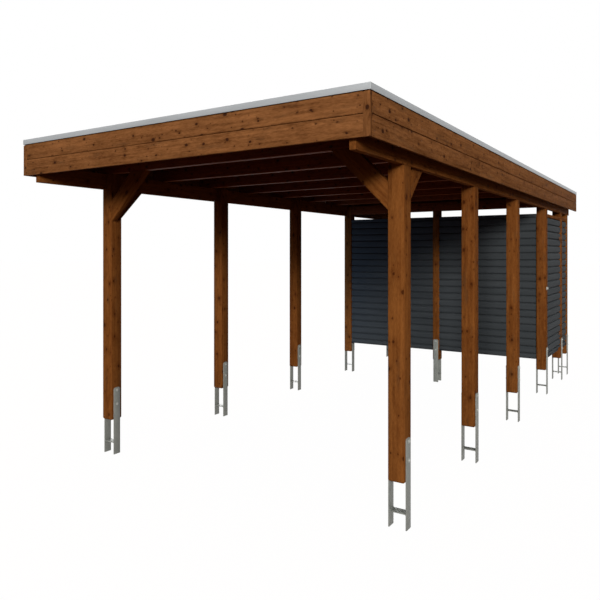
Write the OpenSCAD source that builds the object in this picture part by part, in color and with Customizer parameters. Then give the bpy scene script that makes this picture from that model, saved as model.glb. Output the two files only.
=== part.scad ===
// Flat-roofed timber carport with a clad shed under its rear bay, standing on steel H anchors.
// Millimetres. The origin is the middle of the footprint at ground level: +Z up, +Y from the
// drive-in end to the shed, +X to the side of the shed door.

/* [Posts] */
// Side of a square post
post_size = 115; // [90:1:140]
// Length of a post, from its foot to the notch for the purlin
post_len = 2077; // [1950:1:2600]
// Width over both rows of posts, outer face to outer face
row_span = 2922; // [2500:1:3600]
// Distance from one post to the next along a row
bay_pitch = 1534; // [1350:1:1900]
// Width of the post in the middle of a shed wall
middle_post_w = 92; // [70:1:140]
// Width of the post that carries the shed door
door_post_w = 115; // [70:1:140]

/* [Anchors] */
// Height of an H anchor's legs
anchor_h = 600; // [450:1:800]
// Part of the legs that clasps the post
anchor_lap = 290; // [150:1:320]
// Width of a leg
anchor_leg_w = 70; // [40:1:80]
// Thickness of a leg
anchor_leg_t = 8; // [4:0.5:10]
// Height of the crossbar's underside
anchor_bar_z = 103; // [40:1:120]
// Thickness of the crossbar
anchor_bar_t = 6; // [4:0.5:10]
// Chamfer on the upper corners of a leg
anchor_chamfer = 12; // [2:0.5:18]

/* [Roof frame] */
// Width of a purlin
purlin_w = 45; // [40:1:90]
// Height of a purlin
purlin_h = 140; // [120:1:200]
// Distance of the purlins' front ends from the roof's front edge
purlin_front_setback = 43; // [30:1:200]
// Distance of the purlins' rear ends from the roof's rear edge
purlin_rear_setback = 7; // [5:1:60]
// Number of rafters
rafter_count = 11; // [9:1:13]
// Width of a rafter
rafter_w = 60; // [45:1:80]
// Height of a rafter
rafter_h = 160; // [120:1:200]
// Thickness of the roof boarding
deck_t = 21; // [16:1:24]
// Thickness of the roofing membrane
membrane_t = 3; // [2:0.5:4]
// Height of the edge trim's flange above the membrane
roof_upstand = 23; // [15:1:40]

/* [Braces] */
// Distance of the lower ends of the braces to the rafters below the purlins
rafter_brace_drop = 291; // [250:1:450]
// Distance of the lower ends of the braces to the purlins below them
purlin_brace_drop = 280; // [250:1:450]
// Slope of the braces
brace_angle = 45; // [40:1:50]
// Width of a brace across its grain
brace_w = 130; // [90:1:150]
// Thickness of a brace
brace_t = 60; // [45:1:90]

/* [Fascia and edge trim] */
// Overhang of the roof in front of the first posts
front_overhang = 718; // [500:1:900]
// Overhang of the roof behind the last posts
rear_overhang = 111; // [80:1:300]
// Overhang of the roof beside the posts
side_overhang = 109; // [60:1:300]
// Thickness of a fascia board
fascia_t = 20; // [16:1:28]
// Gap between the two fascia boards
fascia_groove = 6; // [3:0.5:12]
// Distance of the fascia's lower edge below the rafters
fascia_drop = 82; // [60:1:100]
// Width of a corner batten, seen from the front
corner_batten_w = 45; // [30:1:70]
// Height of the metal edge trim
trim_h = 39; // [35:1:70]
// Thickness of the metal edge trim
trim_t = 3; // [1.5:0.5:4]
// Width of the trim's upper flange
trim_flange = 40; // [30:1:80]

/* [Shed walls] */
// Thickness of a wall
wall_t = 45; // [28:1:60]
// Gap between the walls' top rails and the purlins
wall_top_gap = 63; // [10:1:200]
// Distance of the walls' lower edge above the posts' feet
wall_lift = 136; // [60:1:150]
// Height of the top rail on a wall
rail_h = 41; // [20:1:60]
// Distance of the front and rear walls behind the posts' faces
cross_wall_recess = 5; // [5:1:40]
// Distance of the side walls behind the posts' faces
side_wall_recess = 5; // [2:1:20]
// Width of the header beam over the shed's front wall
header_w = 60; // [45:1:90]
// Height of the header beam's underside above the purlins' underside
header_gap = 20; // [0:1:60]

/* [Door] */
// Clear width between the posts of the doorway
doorway_w = 958; // [800:1:1050]
// Gap round the door leaf
door_gap = 8; // [8:0.5:14]
// Distance of the door's lower edge below the walls
door_drop = 18; // [0:1:40]
// Height of the knob and the latch above the door's lower edge
latch_height = 931; // [700:1:1100]
// Distance of the knob from the door's front edge
knob_inset = 60; // [40:1:120]
// Distance of each hinge's middle from the end of the door leaf
hinge_inset = 250; // [150:1:400]

/* [Hinges] */
// Distance of the hinge axis outside the posts
hinge_standoff = 12; // [12:0.5:18]
// Radius of the hinge pin
hinge_pin_r = 4; // [3:0.5:5]
// Radial clearance of the pin in its barrel
hinge_pin_clearance = 0.05; // [0.02:0.01:0.09]
// Radius of the hinge barrel
hinge_barrel_r = 7; // [6.5:0.5:7]
// Height of the barrel on the door leaf
hinge_barrel_h = 50; // [40:1:70]
// Height of the pin's carrier on the door post
hinge_base_h = 40; // [25:1:60]
// Gap between the barrel and the carrier
hinge_lift = 0.3; // [0.2:0.1:0.5]
// Length of the pin above the barrel
hinge_pin_rest = 5; // [2:1:10]
// Thickness of a hinge plate
hinge_plate_t = 5; // [3:0.5:6]
// Length of the plate on the door leaf
hinge_strap_l = 110; // [60:1:160]
// Length of the plate on the door post
hinge_plate_l = 50; // [50:1:75]
// Distance of a plate's edges from the ends of its barrel
hinge_plate_inset = 5; // [5:1:8]
// Width of the neck between a plate and its barrel
hinge_neck_w = 8; // [6:1:12]
// Distance of the neck from the pin
hinge_neck_wall = 1; // [0.5:0.5:2]

/* [Knob and latch] */
// Radius of the knob's stem
knob_stem_r = 7; // [6:0.5:12]
// Length of the knob's stem
knob_stem_l = 12; // [12:1:30]
// Radius of the knob's head
knob_head_r = 14; // [14:0.5:24]
// Length of the knob's head
knob_head_l = 12; // [12:1:30]
// Radius of the latch's plate
latch_plate_r = 22; // [18:0.5:30]
// Thickness of the latch's plate
latch_plate_t = 4; // [2:0.5:6]
// Radius of the latch's turn knob
latch_knob_r = 12; // [8:0.5:16]
// Length of the latch's turn knob
latch_knob_l = 16; // [10:1:24]

/* [Hidden] */
$fn = 64;
ROWS = 5;
FRONT_ROW = 0;
SHED_FRONT_ROW = 3;
SHED_REAR_ROW = 4;
LEFT = -1;
RIGHT = 1;
// Length by which a cut runs past the faces that it opens
CUT = 1;

// Colours
STAINED_TIMBER = "#7a4d2a";
SLATE_PAINT = "#3c444c";
DARK_STEEL = "#33383d";
PALE_METAL = "#a6abb0";
ZINC = "#979c98";
FELT = "#2c2d2e";

// Heights
post_z = anchor_h - anchor_lap;
purlin_z = post_z + post_len;
rafter_z = purlin_z + purlin_h;
deck_z = rafter_z + rafter_h;
membrane_z = deck_z + deck_t;
fascia_z = rafter_z - fascia_drop;
roof_top = membrane_z + membrane_t + roof_upstand + trim_t;
trim_z = roof_top - trim_h;
fascia_board_h = (trim_z - fascia_z - fascia_groove) / 2;
wall_z = post_z + wall_lift;
wall_top = purlin_z - wall_top_gap;
rail_z = wall_top - rail_h;
header_z = purlin_z + header_gap;

// Plan of the roof
roof_w = row_span + 2 * side_overhang;
roof_len = front_overhang + (ROWS - 1) * bay_pitch + post_size + rear_overhang;
roof_front = -roof_len / 2;
fascia_x = roof_w / 2 - trim_t;
fascia_y = roof_len / 2 - trim_t;
deck_x = fascia_x - fascia_t;
deck_y = fascia_y - fascia_t;

// Plan of the posts
row_outer = row_span / 2;
row_inner = row_outer - post_size;
post_mid = post_size / 2;
function row_y(row) = roof_front + front_overhang + row * bay_pitch;

// Plan of the shed
front_wall_y = row_y(SHED_FRONT_ROW) + cross_wall_recess;
rear_wall_y = row_y(SHED_REAR_ROW) + post_size - cross_wall_recess - wall_t;
side_wall_outer = row_outer - side_wall_recess;
shed_front_y = row_y(SHED_FRONT_ROW) + post_size;
shed_rear_y = row_y(SHED_REAR_ROW);
door_post_y = shed_front_y + doorway_w;
side_panel_y = door_post_y + post_size;
cross_wall_end = row_inner - anchor_leg_t;

// Door leaf and its hardware
leaf_front = shed_front_y + door_gap;
leaf_rear = door_post_y - door_gap;
leaf_top = rail_z - door_gap;
leaf_z = wall_z - door_drop;
hinge_x = row_outer + hinge_standoff;
hinge_y = door_post_y - door_gap / 2;
hinge_zs = [leaf_z + hinge_inset, leaf_top - hinge_inset];
hinge_neck_gap = hinge_pin_r + hinge_neck_wall;
hinge_neck_reach = hinge_pin_r - hinge_neck_wall;
latch_z = leaf_z + latch_height;

// A box from its lowest corner to its highest
module block(low, high) {
    translate(low) cube(high - low);
}

// A prism whose outline lies in the plane of X and Z, from y = low to y = high
module prism_along_y(low, high, outline) {
    translate([0, high, 0]) rotate([90, 0, 0]) linear_extrude(high - low) polygon(outline);
}

// A prism whose outline lies in the plane of Y and Z, from x = low to x = high
module prism_along_x(low, high, outline) {
    translate([low, 0, 0]) rotate([90, 0, 90]) linear_extrude(high - low) polygon(outline);
}

// Mirrors what is drawn on the right to the left side
module on_side(side) {
    if (side == LEFT) mirror([1, 0, 0]) children();
    else children();
}

// A post on the right whose outer side is notched for the purlin; the rest reaches the rafters
module notched_post(inner, y) {
    notch_x = row_outer - purlin_w;
    color(STAINED_TIMBER) prism_along_y(y, y + post_size, [
        [inner, post_z], [row_outer, post_z], [row_outer, purlin_z],
        [notch_x, purlin_z], [notch_x, rafter_z], [inner, rafter_z]
    ]);
}

module row_post(side, row) {
    on_side(side) notched_post(row_inner, row_y(row));
}

module door_post() {
    notched_post(row_outer - door_post_w, door_post_y);
}

// The front one is notched for the header beam
module front_middle_post() {
    y = row_y(SHED_FRONT_ROW);
    notch_y = y + header_w;
    color(STAINED_TIMBER) prism_along_x(-middle_post_w / 2, middle_post_w / 2, [
        [y, post_z], [y + post_size, post_z], [y + post_size, rafter_z],
        [notch_y, rafter_z], [notch_y, header_z], [y, header_z]
    ]);
}

module rear_middle_post() {
    y = row_y(SHED_REAR_ROW);
    color(STAINED_TIMBER)
        block([-middle_post_w / 2, y, post_z], [middle_post_w / 2, y + post_size, wall_top]);
}

// An H anchor on the ground at the origin, its legs on the X faces of a post of the given width
module h_anchor(width) {
    half = anchor_leg_w / 2;
    outline = [
        [-half, 0], [half, 0],
        [half, anchor_h - anchor_chamfer], [half - anchor_chamfer, anchor_h],
        [anchor_chamfer - half, anchor_h], [-half, anchor_h - anchor_chamfer]
    ];
    color(ZINC) {
        prism_along_x(width / 2, width / 2 + anchor_leg_t, outline);
        prism_along_x(-width / 2 - anchor_leg_t, -width / 2, outline);
        block([-width / 2, -half, anchor_bar_z], [width / 2, half, anchor_bar_z + anchor_bar_t]);
    }
}

module row_anchors(side) {
    on_side(side) for (row = [0 : ROWS - 1])
        translate([row_outer - post_mid, row_y(row) + post_mid, 0]) h_anchor(post_size);
}

module anchors_right_row() {
    row_anchors(RIGHT);
    translate([row_outer - door_post_w / 2, door_post_y + post_mid, 0]) h_anchor(door_post_w);
}

module anchors_shed_middle() {
    for (row = [SHED_FRONT_ROW, SHED_REAR_ROW])
        translate([0, row_y(row) + post_mid, 0]) rotate([0, 0, 90]) h_anchor(post_size);
}

module purlin(side) {
    color(STAINED_TIMBER) on_side(side) block(
        [row_outer - purlin_w, roof_front + purlin_front_setback, purlin_z],
        [row_outer, -roof_front - purlin_rear_setback, rafter_z]
    );
}

module rafters() {
    pitch = (2 * deck_y - rafter_w) / (rafter_count - 1);
    color(STAINED_TIMBER) for (i = [0 : rafter_count - 1]) {
        y = -deck_y + i * pitch;
        block([-deck_x, y, rafter_z], [deck_x, y + rafter_w, deck_z]);
    }
}

// Beam between the corner posts, on the notch of the middle post
module shed_header() {
    y = row_y(SHED_FRONT_ROW);
    color(STAINED_TIMBER) block([-row_inner, y, header_z], [row_inner, y + header_w, rafter_z]);
}

// Outline of a brace from its foot on a post at [0, foot] up to a beam whose underside is at top
function brace_outline(foot, top) =
    let (upper = foot + brace_w / cos(brace_angle))
    [[0, foot], [(top - foot) / tan(brace_angle), top], [(top - upper) / tan(brace_angle), top], [0, upper]];

// One brace to a rafter across the bay, and one to the purlin in the middle of the post
module front_braces(side) {
    y = row_y(FRONT_ROW);
    middle_x = row_outer - post_mid;
    across = brace_outline(purlin_z - rafter_brace_drop, rafter_z);
    along = brace_outline(purlin_z - purlin_brace_drop, purlin_z);
    color(STAINED_TIMBER) on_side(side) {
        translate([row_inner, 0, 0]) mirror([1, 0, 0]) prism_along_y(y, y + brace_t, across);
        translate([0, y + post_size, 0])
            prism_along_x(middle_x - brace_t / 2, middle_x + brace_t / 2, along);
    }
}

// Two boards with a gap between them; the upper one reaches up under the trim's flange
module fascia_boards(low, high) {
    upper_z = fascia_z + fascia_board_h + fascia_groove;
    color(STAINED_TIMBER) {
        block([low.x, low.y, fascia_z], [high.x, high.y, fascia_z + fascia_board_h]);
        block([low.x, low.y, upper_z], [high.x, high.y, roof_top - trim_t]);
    }
}

module fascia_front() {
    x = fascia_x - corner_batten_w;
    fascia_boards([-x, -fascia_y], [x, -deck_y]);
}

module fascia_side(side) {
    on_side(side) fascia_boards([deck_x, -deck_y], [fascia_x, fascia_y]);
}

// One board on the last rafter, level with the upper boards of the sides
module fascia_rear() {
    z = fascia_z + fascia_board_h + fascia_groove;
    color(STAINED_TIMBER) block([-deck_x, deck_y, z], [deck_x, fascia_y, roof_top - trim_t]);
}

module corner_battens() {
    color(STAINED_TIMBER) for (side = [LEFT, RIGHT]) on_side(side) block(
        [fascia_x - corner_batten_w, -fascia_y, fascia_z],
        [fascia_x, -deck_y, roof_top - trim_t]
    );
}

// Angle profile: a leg in front of the fascia and a flange on top of it
module roof_trim_end() {
    x = roof_w / 2;
    y = roof_len / 2;
    color(PALE_METAL) {
        block([-x, -y, trim_z], [x, trim_t - y, roof_top]);
        block([-x, -y, roof_top - trim_t], [x, trim_flange - y, roof_top]);
    }
}

module roof_trim_side(side) {
    x = roof_w / 2;
    y = roof_len / 2;
    color(PALE_METAL) on_side(side) {
        block([x - trim_t, trim_t - y, trim_z], [x, y - trim_t, roof_top - trim_t]);
        block([x - trim_flange, trim_flange - y, roof_top - trim_t], [x, y - trim_flange, roof_top]);
    }
}

module roof_boarding() {
    color(STAINED_TIMBER) block([-deck_x, -deck_y, deck_z], [deck_x, deck_y, membrane_z]);
}

module roof_membrane() {
    color(FELT) block([-deck_x, -deck_y, membrane_z], [deck_x, deck_y, membrane_z + membrane_t]);
}

// Half of the front or rear wall, from the middle post to the legs of the corner post's anchor
module cross_wall(side, y) {
    color(SLATE_PAINT) on_side(side)
        block([middle_post_w / 2, y, wall_z], [cross_wall_end, y + wall_t, rail_z]);
}

module side_wall(side, front) {
    color(SLATE_PAINT) on_side(side)
        block([side_wall_outer - wall_t, front, wall_z], [side_wall_outer, shed_rear_y, rail_z]);
}

module wall_top_rails() {
    inner = side_wall_outer - wall_t;
    color(STAINED_TIMBER) {
        for (side = [LEFT, RIGHT], y = [front_wall_y, rear_wall_y]) on_side(side)
            block([middle_post_w / 2, y, rail_z], [row_inner, y + wall_t, wall_top]);
        block([-side_wall_outer, shed_front_y, rail_z], [-inner, shed_rear_y, wall_top]);
        block([inner, shed_front_y, rail_z], [side_wall_outer, door_post_y, wall_top]);
        block([inner, side_panel_y, rail_z], [side_wall_outer, shed_rear_y, wall_top]);
    }
}

module door_leaf() {
    color(SLATE_PAINT)
        block([side_wall_outer - wall_t, leaf_front, leaf_z], [side_wall_outer, leaf_rear, leaf_top]);
}

// Plates on the leaf with the barrels that turn on the pins
module door_hinge_straps() {
    color(DARK_STEEL) for (z = hinge_zs) translate([0, 0, z - hinge_barrel_h / 2]) difference() {
        low = hinge_plate_inset;
        high = hinge_barrel_h - hinge_plate_inset;
        neck_y = hinge_y - hinge_neck_gap;
        union() {
            translate([hinge_x, hinge_y, 0]) cylinder(r = hinge_barrel_r, h = hinge_barrel_h);
            block([side_wall_outer, neck_y - hinge_neck_w, low], [hinge_x + hinge_neck_reach, neck_y, high]);
            block([side_wall_outer, neck_y - hinge_strap_l, low],
                [side_wall_outer + hinge_plate_t, neck_y, high]);
        }
        translate([hinge_x, hinge_y, -CUT])
            cylinder(r = hinge_pin_r + hinge_pin_clearance, h = hinge_barrel_h + 2 * CUT);
    }
}

// Plates on the door post with the upright pins
module door_hinge_pins() {
    color(DARK_STEEL) for (z = hinge_zs) translate([0, 0, z - hinge_barrel_h / 2 - hinge_lift]) {
        low = -hinge_base_h;
        high = -hinge_plate_inset;
        neck_y = hinge_y + hinge_neck_gap;
        translate([hinge_x, hinge_y, low]) cylinder(r = hinge_barrel_r, h = hinge_base_h);
        translate([hinge_x, hinge_y, low])
            cylinder(r = hinge_pin_r, h = hinge_base_h + hinge_lift + hinge_barrel_h + hinge_pin_rest);
        block([row_outer, neck_y, low], [hinge_x + hinge_neck_reach, neck_y + hinge_neck_w, high]);
        block([row_outer, neck_y, low], [row_outer + hinge_plate_t, neck_y + hinge_plate_l, high]);
    }
}

// A disc that lies along +X on the plane through the given point
module disc(place, radius, thickness) {
    translate(place) rotate([0, 90, 0]) cylinder(r = radius, h = thickness);
}

// Turned knob on the leaf
module door_knob() {
    y = leaf_front + knob_inset;
    color(SLATE_PAINT) {
        disc([side_wall_outer, y, latch_z], knob_stem_r, knob_stem_l);
        disc([side_wall_outer + knob_stem_l, y, latch_z], knob_head_r, knob_head_l);
    }
}

// Plate on the corner post with a knob that turns a hidden bolt
module door_latch() {
    y = shed_front_y - post_mid;
    color(ZINC) {
        disc([row_outer, y, latch_z], latch_plate_r, latch_plate_t);
        disc([row_outer + latch_plate_t, y, latch_z], latch_knob_r, latch_knob_l);
    }
}

row_post(LEFT, 0);  // post_front_left
row_post(LEFT, 1);  // post_second_left
row_post(LEFT, 2);  // post_third_left
row_post(LEFT, SHED_FRONT_ROW);  // post_shed_front_left
row_post(LEFT, SHED_REAR_ROW);  // post_shed_rear_left
row_post(RIGHT, 0);  // post_front_right
row_post(RIGHT, 1);  // post_second_right
row_post(RIGHT, 2);  // post_third_right
row_post(RIGHT, SHED_FRONT_ROW);  // post_shed_front_right
row_post(RIGHT, SHED_REAR_ROW);  // post_shed_rear_right
front_middle_post();  // post_shed_front_middle
rear_middle_post();  // post_shed_rear_middle
door_post();  // post_door
row_anchors(LEFT);  // anchors_left_row
anchors_right_row();
anchors_shed_middle();
purlin(LEFT);  // purlin_left
purlin(RIGHT);  // purlin_right
rafters();
shed_header();
front_braces(LEFT);  // braces_front_left
front_braces(RIGHT);  // braces_front_right
fascia_front();
fascia_side(LEFT);  // fascia_left
fascia_side(RIGHT);  // fascia_right
fascia_rear();
corner_battens();
roof_trim_end();  // roof_trim_front
mirror([0, 1, 0]) roof_trim_end();  // roof_trim_rear
roof_trim_side(LEFT);  // roof_trim_left
roof_trim_side(RIGHT);  // roof_trim_right
roof_boarding();
roof_membrane();
cross_wall(LEFT, front_wall_y);  // front_wall_left
cross_wall(RIGHT, front_wall_y);  // front_wall_right
cross_wall(LEFT, rear_wall_y);  // rear_wall_left
cross_wall(RIGHT, rear_wall_y);  // rear_wall_right
side_wall(LEFT, shed_front_y);  // left_wall
side_wall(RIGHT, side_panel_y);  // right_wall
wall_top_rails();
door_leaf();
door_hinge_straps();
door_hinge_pins();
door_knob();
door_latch();
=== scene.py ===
"""Looks of a flat-roofed timber carport with a clad shed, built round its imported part."""

import logging
import math
import random
from collections.abc import Callable, Iterator, Sequence
from contextlib import contextmanager
from dataclasses import dataclass
from enum import Enum
from typing import Any

import bmesh
import bpy
import numpy as np
from mathutils import Matrix, Vector


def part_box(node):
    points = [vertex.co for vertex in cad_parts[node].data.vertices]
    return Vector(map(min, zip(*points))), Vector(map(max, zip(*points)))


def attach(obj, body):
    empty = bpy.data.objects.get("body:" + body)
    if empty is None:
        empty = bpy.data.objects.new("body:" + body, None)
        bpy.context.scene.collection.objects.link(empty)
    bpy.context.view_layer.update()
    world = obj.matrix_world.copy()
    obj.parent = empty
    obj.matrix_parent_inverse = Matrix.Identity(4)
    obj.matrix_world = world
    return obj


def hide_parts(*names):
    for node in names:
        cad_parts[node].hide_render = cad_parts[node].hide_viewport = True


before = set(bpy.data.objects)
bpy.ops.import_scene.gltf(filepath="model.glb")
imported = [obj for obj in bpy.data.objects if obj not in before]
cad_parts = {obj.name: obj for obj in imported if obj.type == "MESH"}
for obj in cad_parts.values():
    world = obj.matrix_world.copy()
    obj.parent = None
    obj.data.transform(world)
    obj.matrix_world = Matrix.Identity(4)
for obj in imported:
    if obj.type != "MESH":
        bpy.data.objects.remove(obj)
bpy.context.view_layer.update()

LOG = logging.getLogger("carport")
MERGE_DISTANCE = 1e-5
FLAT_ANGLE = math.radians(1)
SHARP_ANGLE = math.radians(30)
SMOOTH_ANGLE = math.radians(40)
FACING = 0.99
GRAIN = "grain"
TONE = "tone"
NOISE_MEAN = 0.5
PLACE_DIGITS = 4
MIX_FIRST, MIX_SECOND, MIX_RESULT = 6, 7, 2

Box = tuple[Vector, Vector]
Colour = tuple[float, float, float]
Scale = tuple[float, float, float]
Piece = bpy.types.Object
UP = Vector((0, 0, 1))
WHITE = (1.0, 1.0, 1.0)


class Body(Enum):
    """The bodies that pieces ride on."""

    FRAME = "frame"
    DOOR = "door"


class Slot(Enum):
    """The record's material slots."""

    TIMBER = "stained_timber"
    CLADDING = "slate_cladding"
    TRIM = "edge_trim"
    STEEL = "galvanised_steel"
    PAINTED_STEEL = "painted_steel"
    ROOFING = "roofing_membrane"


class Look(Enum):
    """The finishes, each with its name and slot. Several looks of one stain share a slot; one of them is a
    darker, redder copy of the stain that paints in the shade under the roof.
    """

    FASCIA_TIMBER = ("fascia_timber", Slot.TIMBER)
    POST_TIMBER = ("post_timber", Slot.TIMBER)
    # Painted shade: a darker, redder copy of the stain for the timbers under the roof.
    ROOF_TIMBER = ("roof_timber", Slot.TIMBER)
    SLATE_PAINT = ("slate_paint", Slot.CLADDING)
    EDGE_METAL = ("edge_metal", Slot.TRIM)
    ZINC = ("zinc", Slot.STEEL)
    # Plated zinc, lighter than the anchors; its pale colour is partly a painted highlight.
    BRIGHT_ZINC = ("bright_zinc", Slot.STEEL)
    DARK_STEEL = ("dark_steel", Slot.PAINTED_STEEL)
    BROWN_STEEL = ("brown_steel", Slot.PAINTED_STEEL)
    ROOF_SHEET = ("roof_sheet", Slot.ROOFING)

    def __init__(self, label: str, slot: Slot) -> None:
        """Keep the name and the slot."""
        self.label = label
        self.slot = slot


class Axis(Enum):
    """The frame's axes, as indices into a vector."""

    X = 0
    Y = 1
    Z = 2

    @property
    def vector(self) -> Vector:
        """Unit vector along the axis."""
        return Vector(tuple(float(i == self.value) for i in range(3)))


class Wire:
    """A value socket that takes part in Python arithmetic by adding Math nodes."""

    def __init__(self, tree: bpy.types.NodeTree, socket: bpy.types.NodeSocket) -> None:
        """Keep the node tree and the output socket."""
        self.tree = tree
        self.socket = socket

    def math(self, operation: str, *values: "Wire | float") -> "Wire":
        """Add a Math node.

        Args:
            operation: Name of the Math node's operation.
            values: The node's inputs, in order.

        Returns:
            The node's result.
        """
        node = self.tree.nodes.new("ShaderNodeMath")
        node.operation = operation
        for socket, value in zip(node.inputs, values):
            if isinstance(value, Wire):
                self.tree.links.new(value.socket, socket)
            else:
                socket.default_value = value
        return Wire(self.tree, node.outputs[0])

    def __add__(self, other: "Wire | float") -> "Wire":
        """Sum."""
        return self.math("ADD", self, other)

    __radd__ = __add__

    def __sub__(self, other: "Wire | float") -> "Wire":
        """Difference."""
        return self.math("SUBTRACT", self, other)

    def __rsub__(self, other: float) -> "Wire":
        """Difference, from a number."""
        return self.math("SUBTRACT", other, self)

    def __mul__(self, other: "Wire | float") -> "Wire":
        """Product."""
        return self.math("MULTIPLY", self, other)

    __rmul__ = __mul__

    def __truediv__(self, other: "Wire | float") -> "Wire":
        """Quotient."""
        return self.math("DIVIDE", self, other)

    def __pow__(self, other: float) -> "Wire":
        """Power."""
        return self.math("POWER", self, other)

    def __gt__(self, other: "Wire | float") -> "Wire":
        """One where this is the greater, otherwise zero."""
        return self.math("GREATER_THAN", self, other)

    def fraction(self) -> "Wire":
        """Fractional part."""
        return self.math("FRACT", self)

    def clamped(self) -> "Wire":
        """Value held between zero and one."""
        return self.math("MINIMUM", self.math("MAXIMUM", self, 0.0), 1.0)

    def larger(self, other: "Wire") -> "Wire":
        """The larger of two values."""
        return self.math("MAXIMUM", self, other)

    def beside(self, output: str | int) -> "Wire":
        """Another output of the same node."""
        return Wire(self.tree, self.socket.node.outputs[output])


Value = Wire | float | Sequence[float]


class Recipe:
    """A node tree in the making."""

    def __init__(self, tree: bpy.types.NodeTree) -> None:
        """Keep the node tree."""
        self.tree = tree

    def feed(self, socket: bpy.types.NodeSocket, value: Value) -> None:
        """Link a wire to a socket, or set the socket's own value.

        Args:
            socket: The input socket.
            value: The wire or the value.
        """
        if isinstance(value, Wire):
            self.tree.links.new(value.socket, socket)
        else:
            socket.default_value = value

    def node(
        self,
        kind: str,
        settings: dict[str, Any] | None = None,
        inputs: dict[str | int, Value] | None = None,
        output: str | int = 0,
    ) -> Wire:
        """Add any node.

        Args:
            kind: The node's type.
            settings: The node's own settings, set before its inputs.
            inputs: Values or wires by socket name or index.
            output: Name or index of the output to return.

        Returns:
            The chosen output.
        """
        node = self.tree.nodes.new(kind)
        for name, setting in (settings or {}).items():
            setattr(node, name, setting)
        for key, value in (inputs or {}).items():
            self.feed(node.inputs[key], value)
        return Wire(self.tree, node.outputs[output])

    def mix(self, factor: Value, first: Value, second: Value) -> Wire:
        """Blend from the first colour to the second."""
        inputs = {0: factor, MIX_FIRST: rgba(first), MIX_SECOND: rgba(second)}
        return self.node("ShaderNodeMix", {"data_type": "RGBA"}, inputs, MIX_RESULT)

    def vector(self, operation: str, first: Value, second: Value) -> Wire:
        """Combine two vectors into a vector."""
        return self.node("ShaderNodeVectorMath", {"operation": operation}, {0: first, 1: second})

    def length(self, value: Wire) -> Wire:
        """Length of a vector."""
        return self.node("ShaderNodeVectorMath", {"operation": "LENGTH"}, {0: value}, output="Value")

    def split(self, value: Wire) -> tuple[Wire, Wire, Wire]:
        """Parts of a vector or a colour along X, Y and Z."""
        first = self.node("ShaderNodeSeparateXYZ", None, {0: value})
        return first, first.beside(1), first.beside(2)

    def bump(self, height: Wire, distance: float) -> Wire:
        """Normal of a surface with the given relief in metres."""
        return self.node("ShaderNodeBump", None, {"Height": height, "Distance": distance}, "Normal")

    def ramp(self, value: Wire, low: Value, high: Value) -> Wire:
        """Smooth step from zero at low to one at high."""
        inputs = {"Value": value, "From Min": low, "From Max": high}
        return self.node("ShaderNodeMapRange", {"interpolation_type": "SMOOTHSTEP"}, inputs)

    def attribute(self, name: str, output: str) -> Wire:
        """A piece's own attribute."""
        return self.node("ShaderNodeAttribute", {"attribute_name": name}, None, output)

    def object_place(self) -> Wire:
        """Object coordinates in metres."""
        return self.node("ShaderNodeTexCoord", None, None, "Object")


def rgba(colour: Value) -> Value:
    """A colour with its alpha, or a wire as it is."""
    return colour if isinstance(colour, Wire) else (*colour, 1.0)


class Pattern(Enum):
    """The patterns that a layer can have."""

    NOISE = "ShaderNodeTexNoise"
    FACETS = "ShaderNodeTexVoronoi"


@dataclass(frozen=True)
class Mottle:
    """A layer of a stretched pattern, with its weights in a finish's colour, gloss and relief."""

    scale: Scale
    octaves: float = 1.0
    shade: float = 0.0
    gloss: float = 0.0
    relief: float = 0.0
    pattern: Pattern = Pattern.NOISE

    def draw(self, make: Recipe, place: Wire) -> Wire:
        """Draw the pattern.

        Args:
            make: The material in the making.
            place: Coordinates in metres, which the scale turns into cells.

        Returns:
            A value from about -0.5 to 0.5.
        """
        inputs = {"Vector": make.vector("MULTIPLY", place, self.scale), "Scale": 1.0}
        if self.pattern is Pattern.NOISE:
            return make.node(self.pattern.value, None, {**inputs, "Detail": self.octaves}) - NOISE_MEAN
        facets, _, _ = make.split(make.node(self.pattern.value, None, inputs, "Color"))
        return facets - NOISE_MEAN


class Finish(Recipe):
    """A material in the making, with its Principled shader."""

    def __init__(self, name: str) -> None:
        """Make an empty material.

        Args:
            name: Name of the material.
        """
        self.material = bpy.data.materials.new(name)
        self.material.use_nodes = True
        super().__init__(self.material.node_tree)
        self.shader = self.tree.nodes["Principled BSDF"]

    def blend(self, place: Wire, layers: Sequence[Mottle]) -> tuple[Wire, Wire, Wire]:
        """Add up layers, each of them about zero.

        Args:
            place: Coordinates in metres.
            layers: The layers.

        Returns:
            The sums for the shade, the roughness and the relief.
        """
        shade, gloss, relief = 0.0, 0.0, 0.0
        for layer in layers:
            value = layer.draw(self, place)
            if layer.shade:
                shade += value * layer.shade
            if layer.gloss:
                gloss += value * layer.gloss
            if layer.relief:
                relief += value * layer.relief
        return shade, gloss, relief

    def dress(self, **sockets: Value) -> bpy.types.Material:
        """Feed the shader.

        Args:
            sockets: Values or wires by socket name, with underscores for spaces.

        Returns:
            The finished material.
        """
        for name, value in sockets.items():
            self.feed(self.shader.inputs[name.replace("_", " ")], value)
        return self.material


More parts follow.
